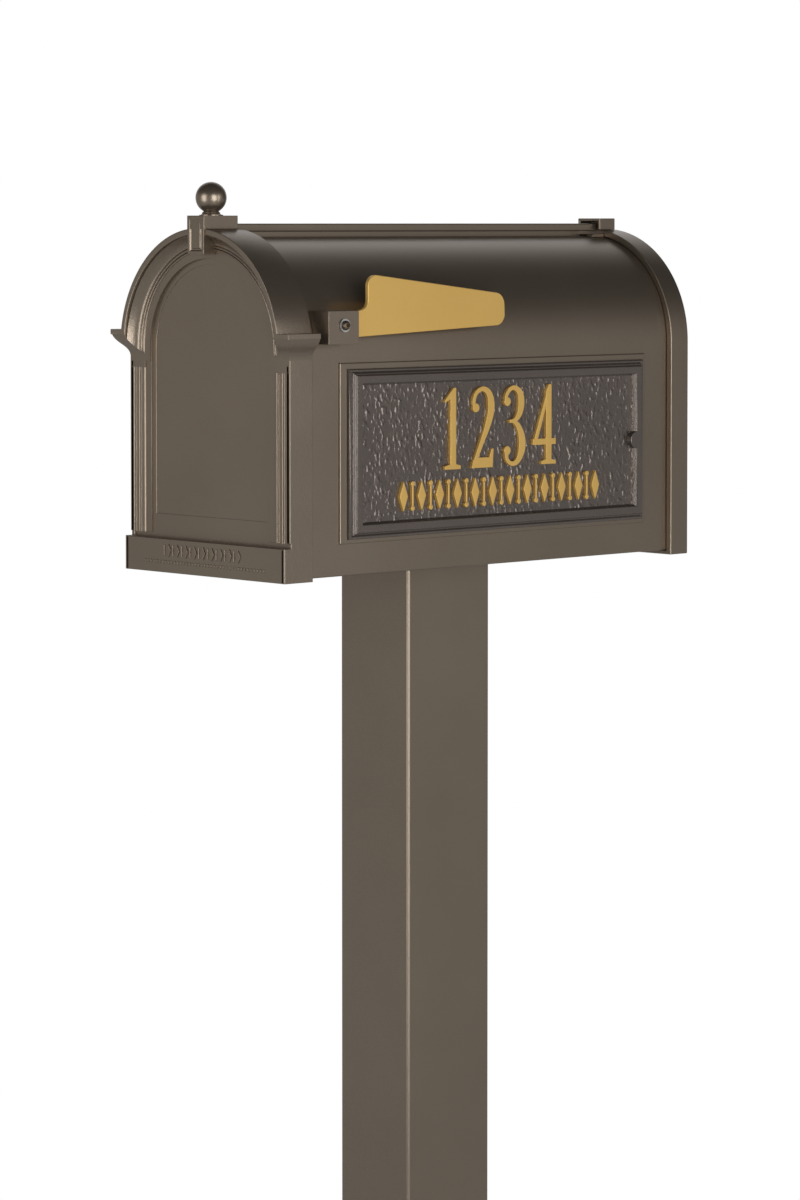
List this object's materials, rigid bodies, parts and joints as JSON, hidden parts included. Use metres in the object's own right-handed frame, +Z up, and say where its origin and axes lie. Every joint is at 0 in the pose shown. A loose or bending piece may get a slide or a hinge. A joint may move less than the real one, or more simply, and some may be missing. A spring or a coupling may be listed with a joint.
{
  "type": "post mounted mailbox",
  "caption": "Arched curbside mailbox on a square post, with a drop-down cast door, a signal flag, side plaques and a bolted foot.",
  "frame": {"origin": "middle of the foot plate's underside, on the ground, on the post's axis", "axes": "+Z up the post, -Y out of the mailbox's door, +X towards the side that carries the signal flag"},
  "size_m": [0.2724, 0.5818, 1.4497],
  "materials": {
    "bronze_paint": "satin metallic bronze powder coat",
    "plaque_bronze": "semi-gloss dark bronze over a textured casting",
    "gold_paint": "satin metallic gold paint",
    "zinc_steel": "zinc plated",
    "dark_screw": "bronze coated fastener",
    "black_nylon": "moulded nylon"
  },
  "bodies": {
    "box_and_post": {"post_tube": "bronze_paint", "foot_flange": "bronze_paint", "post_top_plate": "zinc_steel", "anchor_bolt_1": "zinc_steel", "anchor_bolt_2": "zinc_steel", "anchor_bolt_3": "zinc_steel", "anchor_bolt_4": "zinc_steel", "foot_screw_1": "dark_screw", "foot_screw_2": "dark_screw", "foot_screw_3": "dark_screw", "foot_screw_4": "dark_screw", "body_shell": "bronze_paint", "rear_cap": "bronze_paint", "rear_screw_1": "dark_screw", "rear_screw_2": "dark_screw", "rear_screw_3": "dark_screw", "rear_screw_4": "dark_screw", "mount_plate": "zinc_steel", "mount_bolt_1": "zinc_steel", "mount_bolt_2": "zinc_steel", "mount_bolt_3": "zinc_steel", "mount_bolt_4": "zinc_steel", "ridge_rail": "bronze_paint", "rail_saddle": "bronze_paint", "rail_clamp": "bronze_paint", "rail_screw_1": "dark_screw", "rail_screw_2": "dark_screw", "plaque_right": "plaque_bronze", "plaque_left": "plaque_bronze", "plaque_screw_right_1": "dark_screw", "plaque_screw_right_2": "dark_screw", "plaque_screw_left_1": "dark_screw", "plaque_screw_left_2": "dark_screw", "flag_bracket": "bronze_paint", "flag_washer": "zinc_steel", "flag_screw": "dark_screw", "bracket_screw_1": "dark_screw", "bracket_screw_2": "dark_screw", "hinge_bush_right": "black_nylon", "hinge_bush_left": "black_nylon", "catch_holder": "black_nylon", "catch_magnet": "zinc_steel", "catch_screw": "dark_screw"},
    "door": {"door_casting": "bronze_paint", "door_keystone": "bronze_paint", "finial_ball": "bronze_paint", "door_strike": "zinc_steel", "strike_screw_1": "zinc_steel", "strike_screw_2": "zinc_steel", "hinge_pin_right": "zinc_steel", "hinge_pin_left": "zinc_steel", "pin_clip_right": "zinc_steel", "pin_clip_left": "zinc_steel"},
    "flag": {"flag_blade": "gold_paint"}
  },
  "joints": [
    {"name": "door_hinge", "type": "hinge", "parent": "box_and_post", "child": "door", "pos_m": [0, -0.256, 1.0766], "axis": [1, 0, 0], "range_deg": [0, 95]},
    {"name": "flag_hinge", "type": "hinge", "parent": "box_and_post", "child": "flag", "pos_m": [0.126, -0.2187, 1.3107], "axis": [1, 0, 0], "range_deg": [0, 90]}
  ]
}
